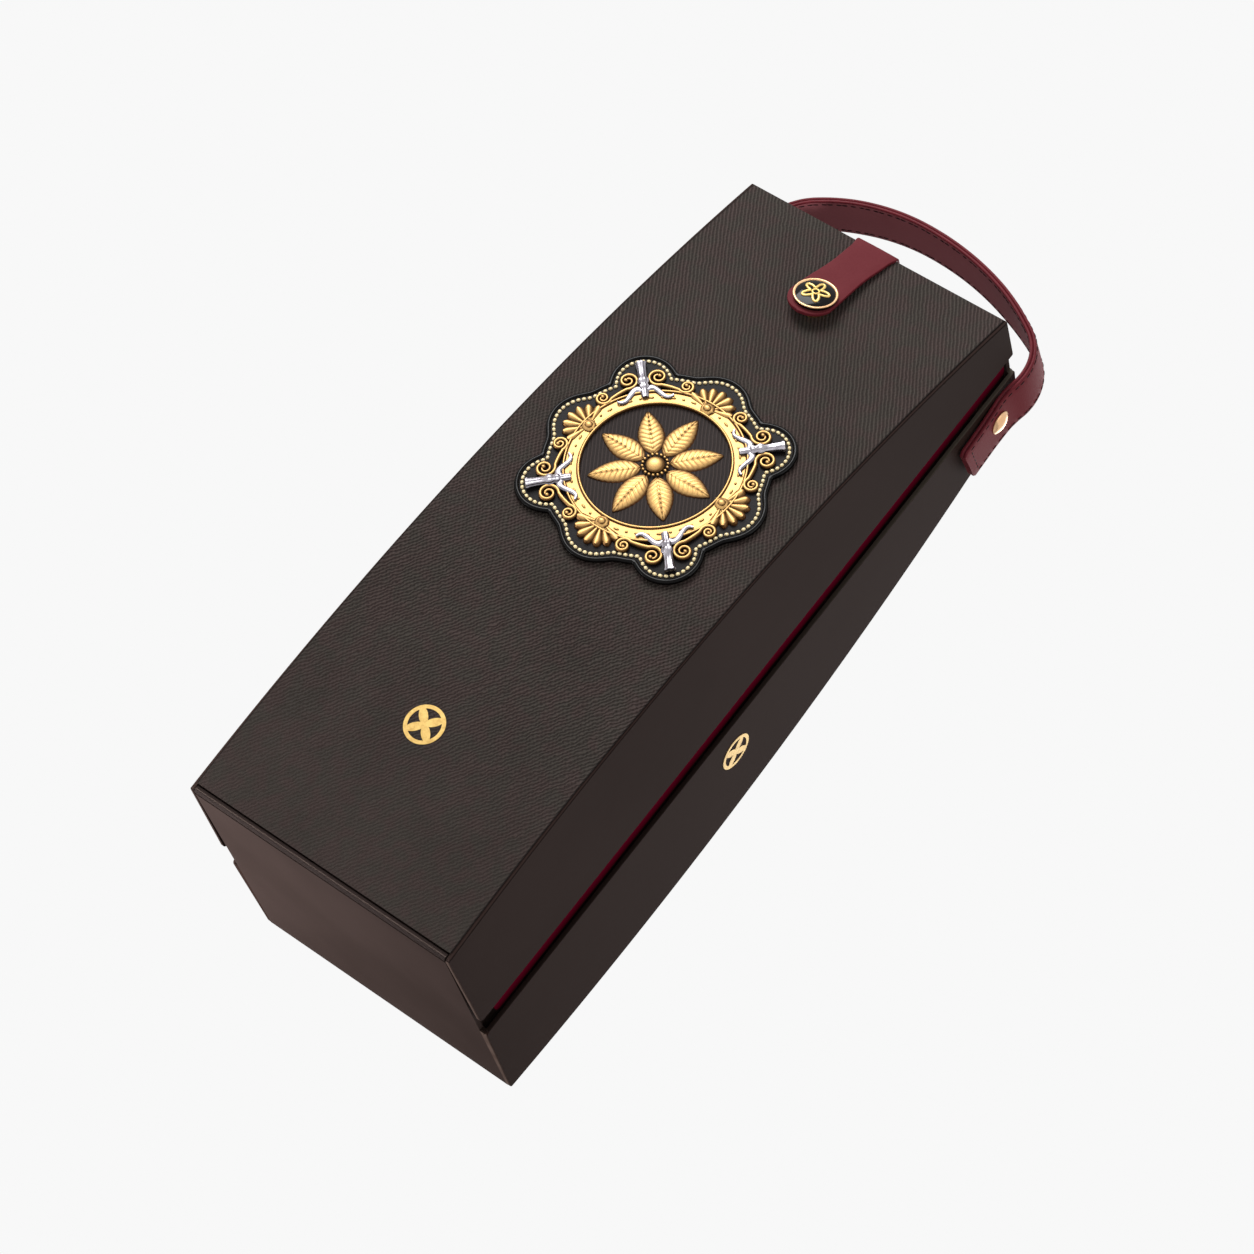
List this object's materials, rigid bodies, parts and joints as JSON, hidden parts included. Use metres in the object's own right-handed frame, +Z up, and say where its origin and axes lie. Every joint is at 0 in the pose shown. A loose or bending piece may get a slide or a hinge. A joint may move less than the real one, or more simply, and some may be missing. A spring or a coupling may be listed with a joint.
{
  "type": "bottle gift box",
  "caption": "Tall rigid gift box for a bottle, with bowed front and back, a lid hinged at the bottom front edge, a snap tab and a leather carrying handle.",
  "frame": {"origin": "centre of the underside of the bottom end, half way between front and back", "axes": "+Z up to the handle, +X to the right when facing the front, +Y from the front to the back"},
  "size_m": [0.1329, 0.1266, 0.3661],
  "materials": {
    "ribbed_paper": "fine ribbed, matt",
    "smooth_paper": "smooth, matt",
    "hinge_cloth": "matt",
    "tray_card": "matt",
    "lining": "satin",
    "foam": "flocked",
    "leather": "smooth, satin",
    "rose_metal": "polished",
    "steel": "satin",
    "gold_metal": "satin",
    "black_enamel": "glossy",
    "medal_cloth": "fine weave",
    "silver_metal": "polished",
    "gold_foil": "foil"
  },
  "bodies": {
    "base": {"back_cover": "ribbed_paper", "bottom_board": "smooth_paper", "back_board": "smooth_paper", "base_side_left": "smooth_paper", "base_side_right": "smooth_paper", "top_board": "smooth_paper", "hinge_fold": "hinge_cloth", "tray_side_left": "tray_card", "tray_side_right": "tray_card", "tray_end_bottom": "tray_card", "tray_end_top": "tray_card", "bottle_seat": "foam", "body_bed": "foam", "neck_bed": "foam", "tab_root": "leather", "handle_rivet_left": "rose_metal", "handle_rivet_right": "rose_metal", "handle_washers": "steel", "side_foil_marks": "gold_foil"},
    "lid": {"front_board": "smooth_paper", "front_cover": "ribbed_paper", "lid_side_left": "smooth_paper", "lid_side_right": "smooth_paper", "lid_lining_left": "lining", "lid_lining_right": "lining", "lid_front_lining": "lining", "lid_body_pad": "foam", "lid_neck_pad": "foam", "medal_pad": "medal_cloth", "medal_cord": "gold_metal", "medal_frame": "gold_metal", "medal_petals": "gold_metal", "medal_boss": "gold_metal", "medal_accents": "silver_metal", "front_foil_mark": "gold_foil", "snap_stud": "steel"},
    "tab": {"closure_tab": "leather", "snap_cap": "black_enamel", "snap_rim": "gold_metal", "snap_socket": "gold_metal"},
    "handle": {"handle_inner": "leather", "handle_outer": "leather"}
  },
  "joints": [
    {"name": "lid_hinge", "type": "hinge", "parent": "base", "child": "lid", "pos_m": [0, -0.0571, 0.0014], "axis": [1, 0, 0], "range_deg": [0, 80]},
    {"name": "tab_hinge", "type": "hinge", "parent": "base", "child": "tab", "pos_m": [0, -0.0264, 0.3294], "axis": [-1, 0, 0], "range_deg": [0, 100]},
    {"name": "handle_swing", "type": "hinge", "parent": "base", "child": "handle", "pos_m": [0, 0.0166, 0.3114], "axis": [1, 0, 0], "range_deg": [-110, 30]}
  ]
}
